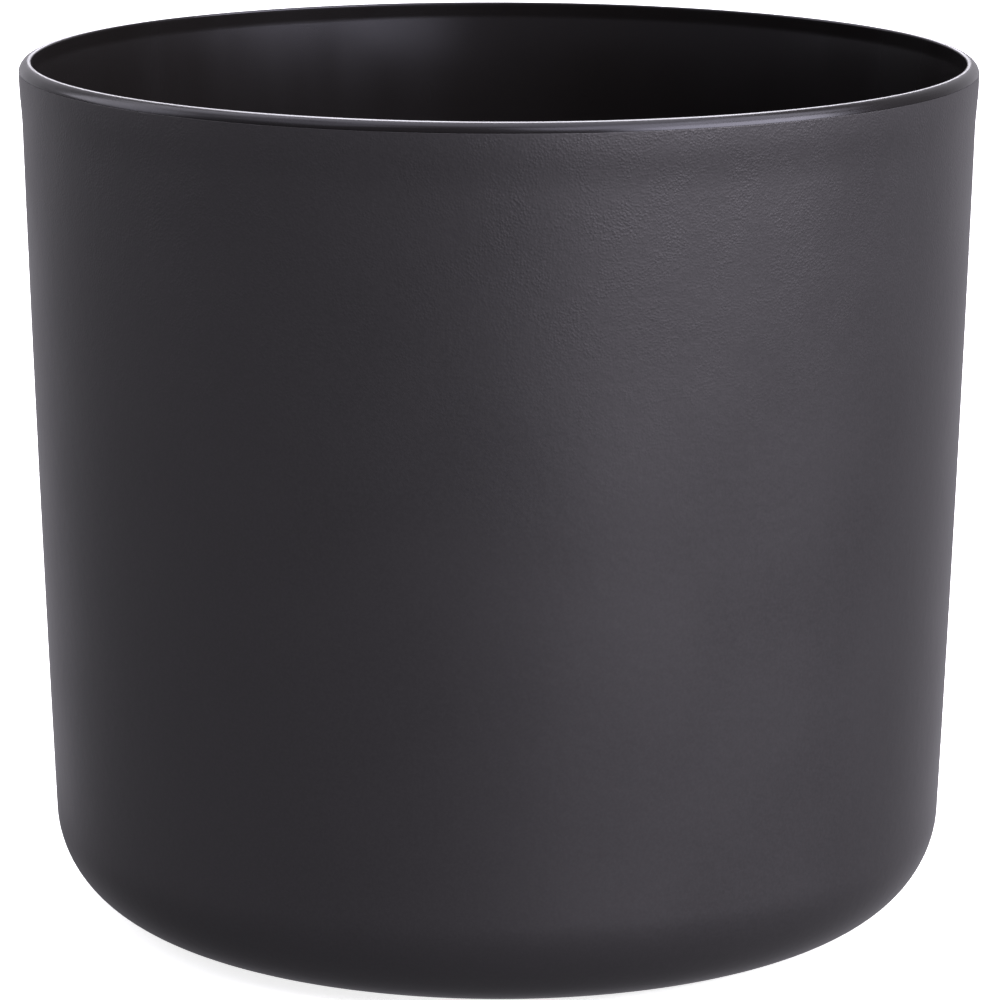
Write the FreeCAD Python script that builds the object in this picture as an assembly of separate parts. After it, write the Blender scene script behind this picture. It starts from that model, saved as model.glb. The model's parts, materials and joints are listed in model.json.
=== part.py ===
"""Empty candle jar: a black glass vessel and the matte coat sprayed on its outside.

Both pieces are solids of revolution about +Z. The origin is the centre of the circle that the jar
stands on, at table height. Lengths are millimetres. Profiles are drawn in the XZ plane, with X as
the radius.
"""
import FreeCAD, Part
import math
import os

# Overall size, over the coat
HEIGHT = 100.0
MOUTH_RADIUS = 55.08          # where the wall's line would meet the rim plane
FOOT_RADIUS = 51.89           # where the wall's line would meet the table
WALL_BULGE = 0.23             # how far the wall stands outside a straight cone at half height
HEEL_RADIUS = 12.0            # the round between the wall and the base

# Coat
COAT_THICKNESS = 0.15
COAT_TOP_DROP = 1.1           # the coat's upper edge, below the lip's crest
COAT_FOOT_ANGLE = 8.0         # degrees round the heel from its lowest line to the coat's lower edge

# Lip. It stands out over the glass wall by the coat's thickness, so it is flush with the coat.
LIP_RADIUS = 55.24
LIP_ROUND_HEIGHT = 1.5        # upper half of the ellipse that the lip's outside follows
FLARE_START_DROP = 8.0        # depth below the crest where the wall starts to flare into the lip
FLARE_HANDLE = 0.45           # length of the flare curve's handles, as a share of its height
CREST_RADIUS = 54.05
INNER_EDGE_RADIUS = 0.25      # the small round on the crest's inner side
LIP_LAND_DROP = 1.8           # the polished inner band's foot, below the crest
LIP_LAND_RADIUS = 53.86       # the polished inner band at its foot

# Inside
MOUTH_BORE_RADIUS = 53.15
MOUTH_BORE_DROP = 12.8        # the bore's upper end, below the crest; a bell mouth leads into it
MOUTH_BORE_LENGTH = 5.0       # the straight band that a lid's plug fits
FLOOR_HEIGHT = 5.0
INNER_HEEL_RADIUS = 9.0
INNER_FOOT_RADIUS = 49.7      # where the inner wall's line would meet the floor

# Underside
RING_INNER_RADIUS = 34.5      # the flat ring that the jar stands on starts here
PUSH_UP_HEIGHT = 1.2          # rise of the hollow under the base
STIPPLE_COUNT = 72            # short shallow dents moulded into the ring, as on machine-made glass
STIPPLE_WIDTH = 0.8
STIPPLE_LENGTH = 3.6
STIPPLE_DEPTH = 0.2


def point(radius, height):
    """A profile point in the XZ plane."""
    return FreeCAD.Vector(radius, 0.0, height)


def line(start, end):
    return Part.LineSegment(start, end).toShape()


def arc_about(centre, radius, start_angle, end_angle):
    """An arc in the XZ plane. Angles are in radians, from +X towards +Z."""
    angles = (start_angle, (start_angle + end_angle) / 2.0, end_angle)
    on_arc = [centre + point(radius * math.cos(a), radius * math.sin(a)) for a in angles]
    return Part.Arc(*on_arc).toShape()


def wall_circle():
    """Centre and radius of the large circle that gives the coated wall its slight barrel shape."""
    foot = point(FOOT_RADIUS, 0.0)
    mouth = point(MOUTH_RADIUS, HEIGHT)
    along = (mouth - foot).normalize()
    outward = FreeCAD.Vector(along.z, 0.0, -along.x)
    belly = (foot + mouth) / 2.0 + outward * WALL_BULGE
    circle = Part.Arc(foot, belly, mouth).toShape().Curve
    return circle.Center, circle.Radius


def heel_centre():
    """Centre of the heel's arc, which touches the table plane and the wall's circle from inside."""
    centre, radius = wall_circle()
    rise = HEEL_RADIUS - centre.z
    reach = math.sqrt((radius - HEEL_RADIUS) ** 2 - rise ** 2)
    return point(centre.x + reach, HEEL_RADIUS)


def angle_of(centre, target):
    return math.atan2(target.z - centre.z, target.x - centre.x)


def flare_start_angle():
    """Angle on the wall's circle where the flare starts."""
    centre, radius = wall_circle()
    return math.asin((HEIGHT - FLARE_START_DROP - centre.z) / radius)


def wall_edges(inset):
    """The outside, from the coat's foot up to its top edge, moved inward by inset."""
    centre, radius = wall_circle()
    heel = heel_centre()
    heel_top_angle = angle_of(centre, heel)
    flare_angle = flare_start_angle()
    heel_arc = arc_about(heel, HEEL_RADIUS - inset, coat_foot_angle(), heel_top_angle)
    wall_arc = arc_about(centre, radius - inset, heel_top_angle, flare_angle)

    flare_start = wall_arc.Vertexes[-1].Point
    flare_end = coat_top_point(inset)
    handle = (FLARE_START_DROP - COAT_TOP_DROP) * FLARE_HANDLE
    up_the_wall = point(-math.sin(flare_angle), math.cos(flare_angle))
    flare_curve = Part.BezierCurve()
    flare_curve.setPoles([
        flare_start,
        flare_start + up_the_wall * handle,
        flare_end - point(0.0, handle),
        flare_end,
    ])
    return [heel_arc, wall_arc, flare_curve.toShape()]


def lip_edges():
    """The bare lip: the step over the coat's top edge, and part of an ellipse from there to the crest."""
    crest = point(CREST_RADIUS, HEIGHT)
    centre = point(CREST_RADIUS, HEIGHT - LIP_ROUND_HEIGHT)
    foot_angle = math.asin((LIP_ROUND_HEIGHT - COAT_TOP_DROP) / LIP_ROUND_HEIGHT)
    half_width = (LIP_RADIUS - CREST_RADIUS) / math.cos(foot_angle)
    ellipse = Part.Ellipse(crest, centre + point(half_width, 0.0), centre)
    return [
        line(coat_top_point(COAT_THICKNESS), coat_top_point(0.0)),
        Part.ArcOfEllipse(ellipse, 0.0, math.pi / 2.0 - foot_angle).toShape(),
    ]


def heel_point(inset, angle):
    reach = HEEL_RADIUS - inset
    return heel_centre() + point(reach * math.cos(angle), reach * math.sin(angle))


def coat_top_point(inset):
    return point(LIP_RADIUS - inset, HEIGHT - COAT_TOP_DROP)


def coat_foot_angle():
    return math.radians(COAT_FOOT_ANGLE - 90.0)


def bell_mouth_edge(land_foot, bore_top):
    """The arc that widens the mouth above the bore. It leaves the bore's cylinder without a corner."""
    width = land_foot.x - bore_top.x
    height = land_foot.z - bore_top.z
    angle = 2.0 * math.atan(width / height)
    radius = height / math.sin(angle)
    centre = bore_top + point(radius, 0.0)
    return arc_about(centre, radius, math.pi - angle, math.pi)


def inner_edges():
    """The inside, from the lip's crest down to the middle of the floor."""
    edge_centre = point(CREST_RADIUS, HEIGHT - INNER_EDGE_RADIUS)
    edge_arc = arc_about(edge_centre, INNER_EDGE_RADIUS, math.pi / 2.0, math.pi)
    edge_foot = point(CREST_RADIUS - INNER_EDGE_RADIUS, HEIGHT - INNER_EDGE_RADIUS)
    land_foot = point(LIP_LAND_RADIUS, HEIGHT - LIP_LAND_DROP)
    bore_top = point(MOUTH_BORE_RADIUS, HEIGHT - MOUTH_BORE_DROP)
    bore_foot = bore_top - point(0.0, MOUTH_BORE_LENGTH)

    wall_foot = point(INNER_FOOT_RADIUS, FLOOR_HEIGHT)
    slope = math.atan2(bore_foot.x - wall_foot.x, bore_foot.z - wall_foot.z)
    # The heel's arc touches the floor and the sloping wall, so its tangent lengths are equal.
    tangent = INNER_HEEL_RADIUS * math.tan((math.pi / 2.0 - slope) / 2.0)
    floor_point = point(INNER_FOOT_RADIUS - tangent, FLOOR_HEIGHT)
    wall_point = wall_foot + point(tangent * math.sin(slope), tangent * math.cos(slope))
    heel_middle = floor_point + point(0.0, INNER_HEEL_RADIUS)
    heel_top_angle = angle_of(heel_middle, wall_point)
    return [
        edge_arc,
        line(edge_foot, land_foot),
        bell_mouth_edge(land_foot, bore_top),
        line(bore_top, bore_foot),
        line(bore_foot, wall_point),
        arc_about(heel_middle, INNER_HEEL_RADIUS, heel_top_angle, -math.pi / 2.0),
        line(floor_point, point(0.0, FLOOR_HEIGHT)),
    ]


def revolve(edges):
    """A closed solid from the edges of a closed profile."""
    ordered = Part.sortEdges(edges)[0]
    face = Part.Face(Part.Wire(ordered))
    return face.revolve(FreeCAD.Vector(0, 0, 0), FreeCAD.Vector(0, 0, 1), 360.0)


def stipple_dents():
    """Short radial dents inside the bearing ring. They don't reach its edges, so it stays one face."""
    ring_middle = (RING_INNER_RADIUS + heel_centre().x) / 2.0
    spacing = 360.0 / STIPPLE_COUNT
    dents = []
    for index in range(STIPPLE_COUNT):
        corner = FreeCAD.Vector(ring_middle - STIPPLE_LENGTH / 2.0, -STIPPLE_WIDTH / 2.0, -STIPPLE_DEPTH)
        dent = Part.makeBox(STIPPLE_LENGTH, STIPPLE_WIDTH, 2.0 * STIPPLE_DEPTH, corner)
        dent.rotate(FreeCAD.Vector(0, 0, 0), FreeCAD.Vector(0, 0, 1), (index + 0.5) * spacing)
        dents.append(dent)
    return dents


def make_glass_vessel():
    """The glass, with its bearing ring left bare and its outside set back under the coat."""
    foot_angle = coat_foot_angle()
    ring_outer = point(heel_centre().x, 0.0)
    ring_inner = point(RING_INNER_RADIUS, 0.0)
    push_up_top = point(0.0, PUSH_UP_HEIGHT)
    dome_radius = (RING_INNER_RADIUS ** 2 + PUSH_UP_HEIGHT ** 2) / (2.0 * PUSH_UP_HEIGHT)
    dome_centre = push_up_top - point(0.0, dome_radius)
    edges = [
        arc_about(dome_centre, dome_radius, angle_of(dome_centre, ring_inner), math.pi / 2.0),
        line(ring_inner, ring_outer),
        arc_about(heel_centre(), HEEL_RADIUS, -math.pi / 2.0, foot_angle),
        line(heel_point(0.0, foot_angle), heel_point(COAT_THICKNESS, foot_angle)),
    ]
    edges += wall_edges(COAT_THICKNESS)
    edges += lip_edges()
    edges += inner_edges()
    edges.append(line(point(0.0, FLOOR_HEIGHT), push_up_top))
    return revolve(edges).cut(Part.makeCompound(stipple_dents()))


def make_outer_coat():
    """The sprayed skin, from the heel up to the step under the lip."""
    foot_angle = coat_foot_angle()
    edges = wall_edges(0.0)
    edges += wall_edges(COAT_THICKNESS)
    edges.append(line(heel_point(0.0, foot_angle), heel_point(COAT_THICKNESS, foot_angle)))
    edges.append(line(coat_top_point(0.0), coat_top_point(COAT_THICKNESS)))
    return revolve(edges)


def main():
    os.makedirs("parts", exist_ok=True)
    nodes = {
        "glass_vessel": make_glass_vessel(),
        "matte_outer_coat": make_outer_coat(),
    }
    for name, shape in nodes.items():
        shape.exportStep("parts/" + name + ".step")
        box = shape.optimalBoundingBox()
        volume_cm3 = round(shape.Volume / 1000.0, 2)
        heights = (round(box.ZMin, 3), round(box.ZMax, 3))
        width = round(box.XLength, 2)
        print(name, "valid", shape.isValid(), "cm3", volume_cm3, "width", width, "z", heights)


main()
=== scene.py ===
"""Looks of the empty candle jar: fine meshes of revolution, materials, soft studio light, camera.

Units are metres. The jar's axis is +Z, it stands at height 0, and the camera looks along +Y.
"""
import json
import math

import bmesh
import bpy
from mathutils import Matrix, Vector, noise


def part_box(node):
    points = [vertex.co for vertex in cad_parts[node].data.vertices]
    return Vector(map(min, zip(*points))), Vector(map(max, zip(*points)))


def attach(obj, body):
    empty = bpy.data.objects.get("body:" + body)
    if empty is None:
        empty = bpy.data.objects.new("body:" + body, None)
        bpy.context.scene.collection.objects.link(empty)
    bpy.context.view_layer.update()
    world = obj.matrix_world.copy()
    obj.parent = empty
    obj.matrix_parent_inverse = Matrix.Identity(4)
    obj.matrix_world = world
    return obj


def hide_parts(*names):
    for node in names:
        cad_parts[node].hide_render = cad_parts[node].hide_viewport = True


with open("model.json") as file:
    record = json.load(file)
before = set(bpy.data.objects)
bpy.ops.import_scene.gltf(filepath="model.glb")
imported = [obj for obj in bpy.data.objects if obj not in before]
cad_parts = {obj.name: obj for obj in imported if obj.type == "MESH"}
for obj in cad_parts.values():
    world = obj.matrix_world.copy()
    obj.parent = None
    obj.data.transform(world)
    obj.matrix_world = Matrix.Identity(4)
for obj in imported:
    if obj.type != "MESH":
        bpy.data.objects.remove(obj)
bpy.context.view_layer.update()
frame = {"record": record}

MM = 0.001
SAME_PLACE = 1e-7                    # points closer together than this count as one
SEGMENTS = 576                       # round the axis; a multiple of the stipple count
SHARP_ANGLE = math.radians(40)       # edges bent more than this are shaded sharp

# Main sizes, from the frame
glass_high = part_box("glass_vessel")[1]
coat_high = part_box("matte_outer_coat")[1]
mouth = next(m for m in frame["record"]["mounts"] if m["name"] == "mouth")
HEIGHT = glass_high.z
LIP_RADIUS = coat_high.x
BORE_RADIUS = mouth["dims"]["r_mm"] * MM
BORE_LENGTH = mouth["dims"]["length_mm"] * MM
BORE_TOP_DROP = HEIGHT - mouth["pos_m"][2] - BORE_LENGTH / 2

# The same outline as the CAD parts
COAT_THICKNESS = 0.15 * MM
MOUTH_RADIUS = 55.08 * MM
FOOT_RADIUS = 51.89 * MM
WALL_BULGE = 0.23 * MM
HEEL_RADIUS = 12.0 * MM
COAT_FOOT_ANGLE = math.radians(-82.0)
COAT_TOP_DROP = HEIGHT - coat_high.z
LIP_ROUND_HEIGHT = 1.5 * MM          # upper half of the ellipse that the lip's outside follows
FLARE_START_DROP = 8.0 * MM
FLARE_HANDLE = 0.45                  # length of the flare curve's handles, as a share of its height
CREST_RADIUS = 54.05 * MM
INNER_EDGE_RADIUS = 0.25 * MM
EDGE_ROUND = 0.03 * MM               # either side of the fine groove between the coat and the lip
LIP_LAND_DROP = 1.8 * MM
LIP_LAND_RADIUS = 53.86 * MM
FLOOR_HEIGHT = 5.0 * MM
INNER_HEEL_RADIUS = 9.0 * MM
INNER_FOOT_RADIUS = 49.7 * MM
RING_INNER_RADIUS = 34.5 * MM
PUSH_UP_HEIGHT = 1.2 * MM
STIPPLE_COUNT = 72
STIPPLE_LENGTH = 3.6 * MM
STIPPLE_DEPTH = 0.2 * MM

# Unevenness from making: how far a surface strays, and the length of its waves
EDGE_WOBBLE = 0.03 * MM              # of the coat's upper edge, up and down
EDGE_WOBBLE_DEPTH = 0.8 * MM         # below the coat's top, where the wobble has faded out
EDGE_BROAD_WAVES = 9.0 * MM
EDGE_FINE_WAVES = 2.5 * MM
LIP_WOBBLE = 0.02 * MM               # of the fire-polished crest, up and down
LIP_WOBBLE_DEPTH = 0.6 * MM          # below the crest; points above this wobble
LIP_WAVES = 26.0 * MM
INSIDE_RIPPLE = 0.03 * MM            # of the inner wall, in and out
INSIDE_RIPPLE_FADE = 6.0 * MM        # the ripple grows to its full size over this depth
INSIDE_WAVES = 11.0 * MM             # round the wall
INSIDE_STRETCH = 4.0                 # the waves are this many times as long up the wall

# The coat's finish
COAT_CLOUD_SIZE = 14.0 * MM
COAT_SPECKLE_SIZE = 0.32 * MM
PEEL_SIZE = 1.3 * MM
PEEL_BUMP = 0.018 * MM
GRAIN_SIZE = 0.28 * MM
GRAIN_BUMP = 0.013 * MM
GRAIN_PATCH_SIZE = 3.5 * MM          # the grain is stronger in some patches than in others
GRAIN_START_HEIGHT = 0.4 * HEIGHT    # it grows stronger from here
GRAIN_FULL_HEIGHT = 0.88 * HEIGHT    # up to here

# The glass's finish
STREAK_SIZE = 9.0 * MM
STREAK_SQUEEZE = 0.22                # below 1, so the streaks are longer up the wall than round it
STREAK_BUMP = 0.03 * MM
DUST_SIZE = 0.5 * MM

# Light and floor
LIGHT_TINT = (0.945, 0.917, 1.0)     # the softboxes and the surroundings are faintly violet
LIGHT_AIM_HEIGHT = 0.6 * HEIGHT      # the softboxes point at the axis here
LIGHT_DISTANCE = 1.2                 # from there
FLOOR_RADIUS = 4.0
FLOOR_CLOUD_SIZE = 60.0 * MM
FLOOR_CLEARANCE = 0.05 * MM          # the floor lies this far under the jar
FLOOR_GLOW = 0.8                     # the floor glows a little, which keeps the jar's shadow faint
# The contact shade is a painted shadow: a dark round that only the jar's reflections see.
SHADE_CENTRE = (-15.0 * MM, 15.0 * MM)   # on the far side from the key light
SHADE_INNER = 44.0 * MM              # the painted shadow that the heel reflects is darkest up to here
SHADE_OUTER = 72.0 * MM
SHADE_CLEARNESS = 0.5                # where it is darkest
SHADE_CLEARANCE = 0.02 * MM

# Camera
CAMERA_DISTANCE = 542.96 * MM        # from the jar's axis, along -Y
CAMERA_HEIGHT = 168.97 * MM
CAMERA_PITCH = math.radians(12.613)  # downward
CAMERA_ROLL = math.radians(0.146)
CAMERA_LENS = 169.91                 # millimetres
CAMERA_SENSOR = 36.0                 # width, millimetres
CAMERA_SHIFT = 0.0021                # to the side, as a share of the frame's width


# ---------------------------------------------------------------- outline

def arc(centre, reach, start, end, steps):
    """Points round an arc. reach is its radius, or its (radial, vertical) half axes."""
    wide, tall = reach if isinstance(reach, tuple) else (reach, reach)
    angles = [start + (end - start) * i / steps for i in range(steps + 1)]
    return [(centre[0] + wide * math.cos(a), centre[1] + tall * math.sin(a)) for a in angles]


def straight(start, end, steps):
    """Points along a straight line."""
    shares = [i / steps for i in range(steps + 1)]
    return [(start[0] + (end[0] - start[0]) * s, start[1] + (end[1] - start[1]) * s) for s in shares]


def bezier(poles, steps):
    """Points along the cubic curve with these four poles."""
    points = []
    for i in range(steps + 1):
        t = i / steps
        weights = ((1 - t) ** 3, 3 * t * (1 - t) ** 2, 3 * t * t * (1 - t), t ** 3)
        points.append(tuple(sum(w * p[k] for w, p in zip(weights, poles)) for k in (0, 1)))
    return points


def chain(*runs):
    """Runs of points joined end to end, without repeating a shared point."""
    joined = []
    for run in runs:
        for p in run:
            if not joined or math.dist(joined[-1], p) > SAME_PLACE:
                joined.append(p)
    return joined


def wall_circle():
    """Centre and radius of the large circle that the coated wall follows."""
    foot = Vector((FOOT_RADIUS, 0.0))
    top = Vector((MOUTH_RADIUS, HEIGHT))
    chord = top - foot
    radius = (chord.length ** 2 / 4 + WALL_BULGE ** 2) / (2 * WALL_BULGE)
    outward = Vector((chord.y, -chord.x)).normalized()
    centre = (foot + top) / 2 - outward * (radius - WALL_BULGE)
    return centre, radius


def heel_centre():
    """Centre of the heel's arc, which touches the table plane and the wall's circle from inside."""
    centre, radius = wall_circle()
    rise = HEEL_RADIUS - centre.y
    return Vector((centre.x + math.sqrt((radius - HEEL_RADIUS) ** 2 - rise ** 2), HEEL_RADIUS))


def ring_middle_radius():
    """Radius halfway across the flat ring that the jar stands on."""
    return (RING_INNER_RADIUS + heel_centre().x) / 2


def coated_wall(inset, steps):
    """The outside from the coat's foot to its top edge, moved inward by inset.

    steps is the number of divisions of the heel, the wall and the flare.
    """
    centre, radius = wall_circle()
    heel = heel_centre()
    heel_top = math.atan2(heel.y - centre.y, heel.x - centre.x)
    flare_angle = math.asin((HEIGHT - FLARE_START_DROP - centre.y) / radius)
    heel_run = arc(heel, HEEL_RADIUS - inset, COAT_FOOT_ANGLE, heel_top, steps[0])
    wall_run = arc(centre, radius - inset, heel_top, flare_angle, steps[1])
    start = wall_run[-1]
    handle = (FLARE_START_DROP - COAT_TOP_DROP) * FLARE_HANDLE
    end = (LIP_RADIUS - inset, HEIGHT - COAT_TOP_DROP)
    leaving = (start[0] - handle * math.sin(flare_angle), start[1] + handle * math.cos(flare_angle))
    flare_run = bezier((start, leaving, (end[0], end[1] - handle), end), steps[2])
    return chain(heel_run, wall_run, flare_run)


def bare_lip():
    """The lip's outside, flush with the coat, from the step over the coat's edge to the crest."""
    foot = HEIGHT - COAT_TOP_DROP
    centre = (CREST_RADIUS, HEIGHT - LIP_ROUND_HEIGHT)
    foot_angle = math.asin((foot - centre[1]) / LIP_ROUND_HEIGHT)
    half_width = (LIP_RADIUS - CREST_RADIUS) / math.cos(foot_angle)
    bevel_angle = math.asin((foot + EDGE_ROUND - centre[1]) / LIP_ROUND_HEIGHT)
    return chain(
        straight((LIP_RADIUS - COAT_THICKNESS, foot), (LIP_RADIUS - EDGE_ROUND, foot), 2),
        arc(centre, (half_width, LIP_ROUND_HEIGHT), bevel_angle, math.pi / 2, 22),
    )


def inside():
    """The inside from the crest's inner round down to the middle of the floor."""
    edge = (CREST_RADIUS, HEIGHT - INNER_EDGE_RADIUS)
    edge_foot = (CREST_RADIUS - INNER_EDGE_RADIUS, edge[1])
    land_foot = (LIP_LAND_RADIUS, HEIGHT - LIP_LAND_DROP)
    bore_top = (BORE_RADIUS, HEIGHT - BORE_TOP_DROP)
    bore_foot = (BORE_RADIUS, bore_top[1] - BORE_LENGTH)
    lead_in_width = LIP_LAND_RADIUS - BORE_RADIUS
    lead_in_height = land_foot[1] - bore_top[1]
    lead_in_angle = 2 * math.atan(lead_in_width / lead_in_height)
    lead_in_radius = lead_in_height / math.sin(lead_in_angle)
    lead_in_centre = (BORE_RADIUS + lead_in_radius, bore_top[1])
    slope = math.atan2(BORE_RADIUS - INNER_FOOT_RADIUS, bore_foot[1] - FLOOR_HEIGHT)
    tangent = INNER_HEEL_RADIUS * math.tan(math.pi / 4 - slope / 2)
    wall_end = (
        INNER_FOOT_RADIUS + tangent * math.sin(slope),
        FLOOR_HEIGHT + tangent * math.cos(slope),
    )
    heel = (INNER_FOOT_RADIUS - tangent, FLOOR_HEIGHT + INNER_HEEL_RADIUS)
    return chain(
        arc(edge, INNER_EDGE_RADIUS, math.pi / 2, math.pi, 6),
        straight(edge_foot, land_foot, 6),
        arc(lead_in_centre, lead_in_radius, math.pi - lead_in_angle, math.pi, 32),
        straight(bore_top, bore_foot, 5),
        straight(bore_foot, wall_end, 16),
        arc(heel, INNER_HEEL_RADIUS, -slope, -math.pi / 2, 14),
        straight((heel[0], FLOOR_HEIGHT), (0.0, FLOOR_HEIGHT), 6),
    )


def vessel_outline():
    """The whole section of the glass, from the middle of the underside to the middle of the floor."""
    dome = (RING_INNER_RADIUS ** 2 + PUSH_UP_HEIGHT ** 2) / (2 * PUSH_UP_HEIGHT)
    dome_edge = math.asin(RING_INNER_RADIUS / dome)
    push_up = arc((0.0, PUSH_UP_HEIGHT - dome), dome, math.pi / 2, math.pi / 2 - dome_edge, 8)
    ring_outer = heel_centre().x
    ring = straight((RING_INNER_RADIUS, 0.0), (ring_outer, 0.0), 12)
    bare_heel = arc(heel_centre(), HEEL_RADIUS, -math.pi / 2, COAT_FOOT_ANGLE, 4)
    return chain(
        push_up,
        ring,
        bare_heel,
        coated_wall(COAT_THICKNESS, (12, 10, 8)),
        bare_lip(),
        inside(),
    )


def coat_outline():
    """The coat's closed section: its outside, a rounded upper edge, then back down the glass."""
    outer = coated_wall(0.0, (24, 56, 24))
    inner = coated_wall(COAT_THICKNESS, (12, 10, 8))
    top = outer.pop()
    corner = (top[0] - EDGE_ROUND, top[1] - EDGE_ROUND)
    # A short facet keeps the corner's shading off the wall below it.
    outer.append((top[0], corner[1] - EDGE_ROUND))
    return chain(outer, arc(corner, EDGE_ROUND, 0.0, math.pi / 2, 3), reversed(inner))


# ---------------------------------------------------------------- mesh

def lathe(name, outline, closed, unevenness):
    """A closed mesh of revolution. unevenness moves a point: (radius, height, angle) to the same."""
    mesh_data = bmesh.new()
    rings = []
    for radius, height in outline:
        count = SEGMENTS if radius > SAME_PLACE else 1
        ring = []
        for k in range(count):
            angle = 2 * math.pi * k / SEGMENTS
            r, z = unevenness(radius, height, angle) if count > 1 else (0.0, height)
            ring.append(mesh_data.verts.new((r * math.cos(angle), r * math.sin(angle), z)))
        rings.append(ring)
    pairs = list(zip(rings, rings[1:]))
    if closed:
        pairs.append((rings[-1], rings[0]))
    for lower, upper in pairs:
        for k in range(SEGMENTS):
            n = (k + 1) % SEGMENTS
            if len(lower) == 1:
                corners = (lower[0], upper[n], upper[k])
            elif len(upper) == 1:
                corners = (lower[k], lower[n], upper[0])
            else:
                corners = (lower[k], lower[n], upper[n], upper[k])
            mesh_data.faces.new(corners)
    bmesh.ops.recalc_face_normals(mesh_data, faces=mesh_data.faces)
    mesh = bpy.data.meshes.new(name)
    mesh_data.to_mesh(mesh)
    mesh_data.free()
    mesh.shade_smooth()
    mesh.set_sharp_from_angle(angle=SHARP_ANGLE)
    piece = bpy.data.objects.new(name, mesh)
    bpy.context.scene.collection.objects.link(piece)
    return piece


def round_noise(angle, height, radius, wavelength, seed):
    """Smooth noise from -1 to 1 on a cylinder, so it joins up all the way round."""
    scale = 1.0 / wavelength
    reach = radius * scale
    place = (reach * math.cos(angle), reach * math.sin(angle), height * scale + seed)
    return noise.noise(Vector(place))


def vessel_unevenness(radius, height, angle):
    """Stipple dents in the bearing ring, a faintly wavy crest and a faintly rippled inner wall."""
    if height < SAME_PLACE and abs(radius - ring_middle_radius()) < STIPPLE_LENGTH / 2:
        spacing = SEGMENTS // STIPPLE_COUNT
        step = round(angle / (2 * math.pi) * SEGMENTS) % spacing
        dented = abs(step - spacing // 2) <= 1
        return radius, STIPPLE_DEPTH if dented else 0.0
    if height > HEIGHT - LIP_WOBBLE_DEPTH:
        wave = round_noise(angle, 0.0, radius, LIP_WAVES, seed=3.1)
        return radius, height + LIP_WOBBLE * (wave - 0.5)
    top = HEIGHT - LIP_LAND_DROP
    on_inner_wall = radius < LIP_LAND_RADIUS and INNER_HEEL_RADIUS + FLOOR_HEIGHT < height < top
    if on_inner_wall:
        fade = min(1.0, (top - height) / INSIDE_RIPPLE_FADE)
        ripple = round_noise(angle, height / INSIDE_STRETCH, radius, INSIDE_WAVES, seed=9.7)
        return radius + INSIDE_RIPPLE * fade * ripple, height
    return radius, height


def coat_unevenness(radius, height, angle):
    """The upper edge of the sprayed skin isn't quite level: it dips a little below the lip's step."""
    near_top = max(0.0, 1.0 - (coat_high.z - height) / EDGE_WOBBLE_DEPTH)
    broad = round_noise(angle, 0.0, radius, EDGE_BROAD_WAVES, seed=5.3)
    fine = round_noise(angle, 0.0, radius, EDGE_FINE_WAVES, seed=1.9)
    return radius, height - EDGE_WOBBLE * near_top * (0.5 + 0.4 * broad + 0.2 * fine)


# ---------------------------------------------------------------- materials

def new_material(name):
    material = bpy.data.materials.new(name)
    material.use_nodes = True
    material.node_tree.nodes.clear()
    return material, material.node_tree.nodes, material.node_tree.links


def add_node(nodes, kind, **values):
    node = nodes.new(kind)
    for name, value in values.items():
        setattr(node, name, value)
    return node


def add_noise(nodes, links, coordinates, size, detail=2.0, roughness=0.5):
    """Noise whose features are about size across, in metres."""
    texture = add_node(nodes, "ShaderNodeTexNoise")
    texture.inputs["Scale"].default_value = 1.0 / size
    texture.inputs["Detail"].default_value = detail
    texture.inputs["Roughness"].default_value = roughness
    links.new(coordinates, texture.inputs["Vector"])
    return texture.outputs["Fac"]


def add_range(nodes, links, value, low, high, to_low, to_high, smooth=False):
    ranged = add_node(nodes, "ShaderNodeMapRange")
    if smooth:
        ranged.interpolation_type = "SMOOTHSTEP"
    links.new(value, ranged.inputs["Value"])
    ends = {"From Min": low, "From Max": high, "To Min": to_low, "To Max": to_high}
    for name, number in ends.items():
        ranged.inputs[name].default_value = number
    return ranged.outputs["Result"]


def add_droplets(nodes, links, coordinates, size):
    """Rounded grains, like dried spray, about size across in metres: 1 at their middles."""
    texture = add_node(nodes, "ShaderNodeTexVoronoi", feature="F1")
    texture.inputs["Scale"].default_value = 1.0 / size
    links.new(coordinates, texture.inputs["Vector"])
    return add_range(nodes, links, texture.outputs["Distance"], 0.0, 0.8, 1.0, 0.0, smooth=True)


def add_bump(nodes, links, height, distance, normal=None):
    bump = add_node(nodes, "ShaderNodeBump")
    bump.inputs["Strength"].default_value = 1.0
    bump.inputs["Distance"].default_value = distance
    links.new(height, bump.inputs["Height"])
    if normal is not None:
        links.new(normal, bump.inputs["Normal"])
    return bump.outputs["Normal"]


def add_mix(nodes, links, factor, first, second):
    """A mix of two colours, or of two colour sockets."""
    mix = add_node(nodes, "ShaderNodeMix", data_type="RGBA")
    links.new(factor, mix.inputs["Factor"])
    for socket, value in ((mix.inputs["A"], first), (mix.inputs["B"], second)):
        if isinstance(value, tuple):
            socket.default_value = (*value, 1.0)
        else:
            links.new(value, socket)
    return mix.outputs["Result"]


def multiply(nodes, links, first, second):
    product = add_node(nodes, "ShaderNodeMath", operation="MULTIPLY")
    links.new(first, product.inputs[0])
    links.new(second, product.inputs[1])
    return product.outputs["Value"]


def finish_surface(nodes, links, shader):
    output = add_node(nodes, "ShaderNodeOutputMaterial")
    links.new(shader.outputs["BSDF"], output.inputs["Surface"])


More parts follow.
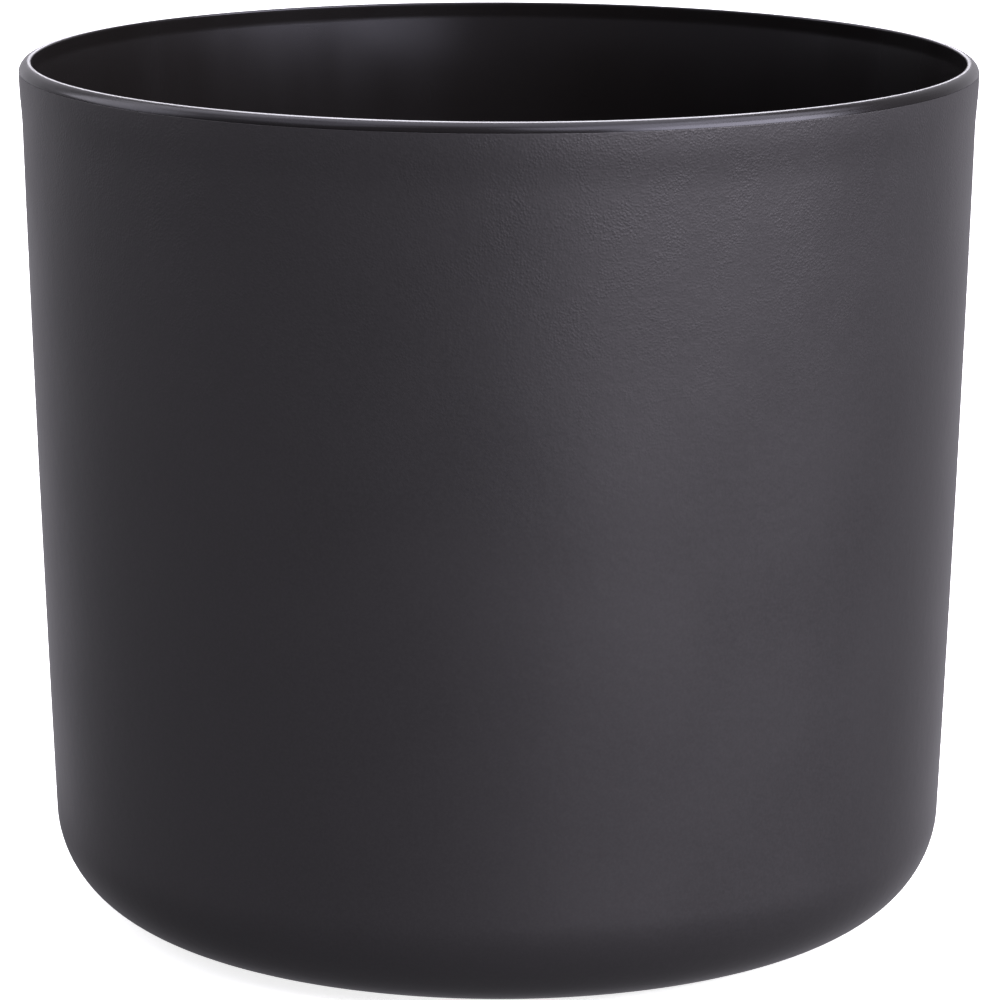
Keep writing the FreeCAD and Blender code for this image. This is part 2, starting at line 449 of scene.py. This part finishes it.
def coat_material():
    """Matte sprayed lacquer: near black and faintly violet, with fine grain over soft orange peel."""
    material, nodes, links = new_material("matte_coat_lacquer")
    place = add_node(nodes, "ShaderNodeTexCoord").outputs["Object"]
    shader = add_node(nodes, "ShaderNodeBsdfPrincipled")
    dark = (0.0078, 0.0073, 0.0080)
    pale = (0.0102, 0.0096, 0.0104)
    specks = (0.0150, 0.0141, 0.0153)
    clouds = add_noise(nodes, links, place, COAT_CLOUD_SIZE, detail=3.0)
    speckle = add_noise(nodes, links, place, COAT_SPECKLE_SIZE, detail=2.0, roughness=0.6)
    base = add_mix(nodes, links, clouds, dark, pale)
    tone = add_range(nodes, links, speckle, 0.35, 0.7, 0.0, 1.0)
    colour = add_mix(nodes, links, tone, base, specks)
    links.new(colour, shader.inputs["Base Color"])
    split = add_node(nodes, "ShaderNodeSeparateXYZ")
    links.new(place, split.inputs["Vector"])
    z = split.outputs["Z"]
    height = add_range(nodes, links, z, GRAIN_START_HEIGHT, GRAIN_FULL_HEIGHT, 0.1, 1.0)
    patches = add_noise(nodes, links, place, GRAIN_PATCH_SIZE, detail=2.0)
    patchy = add_range(nodes, links, patches, 0.4, 0.62, 0.6, 1.3)
    grittiness = multiply(nodes, links, multiply(nodes, links, height, height), patchy)
    peel = add_noise(nodes, links, place, PEEL_SIZE, detail=1.0)
    waves = add_bump(nodes, links, peel, PEEL_BUMP)
    droplets = add_droplets(nodes, links, place, GRAIN_SIZE)
    grit = multiply(nodes, links, grittiness, droplets)
    links.new(add_bump(nodes, links, grit, GRAIN_BUMP, waves), shader.inputs["Normal"])
    links.new(add_range(nodes, links, clouds, 0.3, 0.7, 0.44, 0.48), shader.inputs["Roughness"])
    shader.inputs["Specular IOR Level"].default_value = 0.8
    shader.inputs["Specular Tint"].default_value = (0.985, 0.952, 1.0, 1.0)
    finish_surface(nodes, links, shader)
    return material


def glass_material():
    """Black glass with a soft gloss, faintly streaked up and down as pressed glass is."""
    material, nodes, links = new_material("black_glass_body")
    place = add_node(nodes, "ShaderNodeTexCoord").outputs["Object"]
    shader = add_node(nodes, "ShaderNodeBsdfPrincipled")
    black = (0.0045, 0.0039, 0.0037)
    dusty = (0.0068, 0.0060, 0.0059)
    stretch = add_node(nodes, "ShaderNodeMapping")
    stretch.inputs["Scale"].default_value = (1.0, 1.0, STREAK_SQUEEZE)
    links.new(place, stretch.inputs["Vector"])
    streaks = add_noise(nodes, links, stretch.outputs["Vector"], STREAK_SIZE, detail=2.0)
    dust = add_noise(nodes, links, place, DUST_SIZE, detail=3.0, roughness=0.65)
    links.new(add_range(nodes, links, streaks, 0.3, 0.7, 0.22, 0.28), shader.inputs["Roughness"])
    colour = add_mix(nodes, links, dust, black, dusty)
    links.new(colour, shader.inputs["Base Color"])
    links.new(add_bump(nodes, links, streaks, STREAK_BUMP), shader.inputs["Normal"])
    shader.inputs["IOR"].default_value = 1.5
    shader.inputs["Specular IOR Level"].default_value = 0.28
    shader.inputs["Specular Tint"].default_value = (0.88, 0.88, 1.0, 1.0)
    finish_surface(nodes, links, shader)
    return material


def floor_material():
    """Plain pale studio floor. It is clear from below, so the jar's underside can be looked at."""
    material, nodes, links = new_material("studio_floor")
    place = add_node(nodes, "ShaderNodeTexCoord").outputs["Object"]
    shader = add_node(nodes, "ShaderNodeBsdfPrincipled")
    paper = add_noise(nodes, links, place, FLOOR_CLOUD_SIZE, detail=2.0)
    colour = add_mix(nodes, links, paper, (0.86, 0.86, 0.86), (0.88, 0.88, 0.88))
    links.new(colour, shader.inputs["Base Color"])
    shader.inputs["Roughness"].default_value = 0.9
    shader.inputs["Specular IOR Level"].default_value = 0.1
    shader.inputs["Emission Color"].default_value = (1.0, 1.0, 1.0, 1.0)
    shader.inputs["Emission Strength"].default_value = FLOOR_GLOW
    clear = add_node(nodes, "ShaderNodeBsdfTransparent")
    side = add_node(nodes, "ShaderNodeNewGeometry")
    mix = add_node(nodes, "ShaderNodeMixShader")
    links.new(side.outputs["Backfacing"], mix.inputs["Fac"])
    links.new(shader.outputs["BSDF"], mix.inputs[1])
    links.new(clear.outputs["BSDF"], mix.inputs[2])
    output = add_node(nodes, "ShaderNodeOutputMaterial")
    links.new(mix.outputs["Shader"], output.inputs["Surface"])
    return material


def shade_material():
    """Painted shadow: black near the jar's foot, fading out to clear."""
    material, nodes, links = new_material("contact_shade")
    place = add_node(nodes, "ShaderNodeTexCoord").outputs["Object"]
    distance = add_node(nodes, "ShaderNodeVectorMath", operation="LENGTH")
    links.new(place, distance.inputs[0])
    reach = distance.outputs["Value"]
    fade = add_range(nodes, links, reach, SHADE_INNER, SHADE_OUTER, SHADE_CLEARNESS, 1.0, smooth=True)
    black = add_node(nodes, "ShaderNodeBsdfDiffuse")
    black.inputs["Color"].default_value = (0.0, 0.0, 0.0, 1.0)
    clear = add_node(nodes, "ShaderNodeBsdfTransparent")
    mix = add_node(nodes, "ShaderNodeMixShader")
    links.new(fade, mix.inputs["Fac"])
    links.new(black.outputs["BSDF"], mix.inputs[1])
    links.new(clear.outputs["BSDF"], mix.inputs[2])
    output = add_node(nodes, "ShaderNodeOutputMaterial")
    links.new(mix.outputs["Shader"], output.inputs["Surface"])
    return material


# ---------------------------------------------------------------- stage

def disc(name, radius, height, material):
    """A staged flat round under the jar, which diffuse rays don't meet."""
    mesh_data = bmesh.new()
    bmesh.ops.create_circle(mesh_data, cap_ends=True, radius=radius, segments=96)
    for vertex in mesh_data.verts:
        vertex.co.z = height
    mesh = bpy.data.meshes.new(name)
    mesh_data.to_mesh(mesh)
    mesh_data.free()
    mesh.materials.append(material)
    placed = bpy.data.objects.new(name, mesh)
    placed.visible_diffuse = False
    bpy.context.scene.collection.objects.link(placed)
    return placed


def make_floor():
    """The floor that the camera sees, and the painted shadow at the jar's foot: a dark round that its
    heel reflects.
    """
    floor = disc("floor", FLOOR_RADIUS, -FLOOR_CLEARANCE, floor_material())
    floor.visible_glossy = False
    shade = disc("contact_shade", SHADE_OUTER, -SHADE_CLEARANCE, shade_material())
    shade.location = (*SHADE_CENTRE, 0.0)
    shade.visible_camera = False
    shade.visible_shadow = False


def softbox(name, azimuth, elevation, width, height, power):
    """An area light aimed at the jar. Azimuth 0 is the camera's side, and 90 is +X."""
    turn = math.radians(azimuth)
    lift = math.radians(elevation)
    direction = Vector((
        math.sin(turn) * math.cos(lift),
        -math.cos(turn) * math.cos(lift),
        math.sin(lift),
    ))
    light = bpy.data.lights.new(name, "AREA")
    light.shape = "RECTANGLE"
    light.size = width
    light.size_y = height
    light.energy = power
    light.color = LIGHT_TINT
    lamp = bpy.data.objects.new(name, light)
    lamp.location = Vector((0.0, 0.0, LIGHT_AIM_HEIGHT)) + direction * LIGHT_DISTANCE
    lamp.rotation_euler = direction.to_track_quat("Z", "Y").to_euler()
    lamp.visible_camera = False
    bpy.context.scene.collection.objects.link(lamp)


def make_world(front, back, back_below):
    """Pale surroundings: dim on the camera's side, brighter behind the jar, more so low down."""
    world = bpy.data.worlds.new("studio")
    world.use_nodes = True
    nodes, links = world.node_tree.nodes, world.node_tree.links
    nodes.clear()
    direction = add_node(nodes, "ShaderNodeTexCoord").outputs["Generated"]
    split = add_node(nodes, "ShaderNodeSeparateXYZ")
    links.new(direction, split.inputs["Vector"])
    far_side = add_range(nodes, links, split.outputs["Z"], -0.5, 0.1, back_below, back, smooth=True)
    behind = add_range(nodes, links, split.outputs["Y"], 0.5, 0.95, 0.0, 1.0, smooth=True)
    strength = add_node(nodes, "ShaderNodeMix", data_type="FLOAT")
    links.new(behind, strength.inputs["Factor"])
    strength.inputs["A"].default_value = front
    links.new(far_side, strength.inputs["B"])
    surroundings = add_node(nodes, "ShaderNodeBackground")
    surroundings.inputs["Color"].default_value = (*LIGHT_TINT, 1.0)
    links.new(strength.outputs["Result"], surroundings.inputs["Strength"])
    backdrop = add_node(nodes, "ShaderNodeBackground")
    backdrop.inputs["Color"].default_value = (1.0, 1.0, 1.0, 1.0)
    seen = add_node(nodes, "ShaderNodeLightPath").outputs["Is Camera Ray"]
    choice = add_node(nodes, "ShaderNodeMixShader")
    links.new(seen, choice.inputs["Fac"])
    links.new(surroundings.outputs["Background"], choice.inputs[1])
    links.new(backdrop.outputs["Background"], choice.inputs[2])
    output = add_node(nodes, "ShaderNodeOutputWorld")
    links.new(choice.outputs["Shader"], output.inputs["Surface"])
    bpy.context.scene.world = world


def make_camera():
    data = bpy.data.cameras.new("camera")
    data.lens = CAMERA_LENS
    data.sensor_width = CAMERA_SENSOR
    data.shift_x = CAMERA_SHIFT
    data.clip_start = 0.01
    camera = bpy.data.objects.new("camera", data)
    tilt = Matrix.Rotation(math.pi / 2 - CAMERA_PITCH, 4, "X")
    roll = Matrix.Rotation(CAMERA_ROLL, 4, "Z")
    camera.matrix_world = Matrix.Translation((0.0, -CAMERA_DISTANCE, CAMERA_HEIGHT)) @ tilt @ roll
    bpy.context.scene.collection.objects.link(camera)
    bpy.context.scene.camera = camera


# ---------------------------------------------------------------- build

make_camera()

vessel = lathe("glass_vessel_body", vessel_outline(), False, vessel_unevenness)
vessel.data.materials.append(glass_material())
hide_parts("glass_vessel")
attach(vessel, "root")

coat = lathe("matte_coat_skin", coat_outline(), True, coat_unevenness)
coat.data.materials.append(coat_material())
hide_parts("matte_outer_coat")
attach(coat, "root")

make_floor()
make_world(front=0.28, back=0.73, back_below=1.07)
softbox("key", azimuth=60, elevation=27, width=1.1, height=0.53, power=25)
softbox("low_window", azimuth=45, elevation=5, width=1.1, height=0.42, power=0.4)
softbox("low_front", azimuth=26, elevation=5, width=0.5, height=0.42, power=1.6)
softbox("right_high", azimuth=90, elevation=52, width=0.6, height=0.53, power=5.3)
softbox("front_high", azimuth=38, elevation=52, width=0.8, height=0.53, power=8.7)
softbox("left_high", azimuth=-60, elevation=52, width=0.6, height=0.53, power=1.7)
softbox("left_back_high", azimuth=-120, elevation=52, width=0.6, height=0.53, power=3.0)
softbox("left", azimuth=-105, elevation=27, width=0.8, height=0.53, power=4.6)
softbox("crest_low", azimuth=180, elevation=22, width=0.5, height=0.4, power=3.1)
softbox("crest_high", azimuth=180, elevation=42, width=0.5, height=0.4, power=6.4)
softbox("top", azimuth=180, elevation=85, width=1.0, height=1.0, power=9.3)
bpy.context.scene.view_settings.view_transform = "Standard"
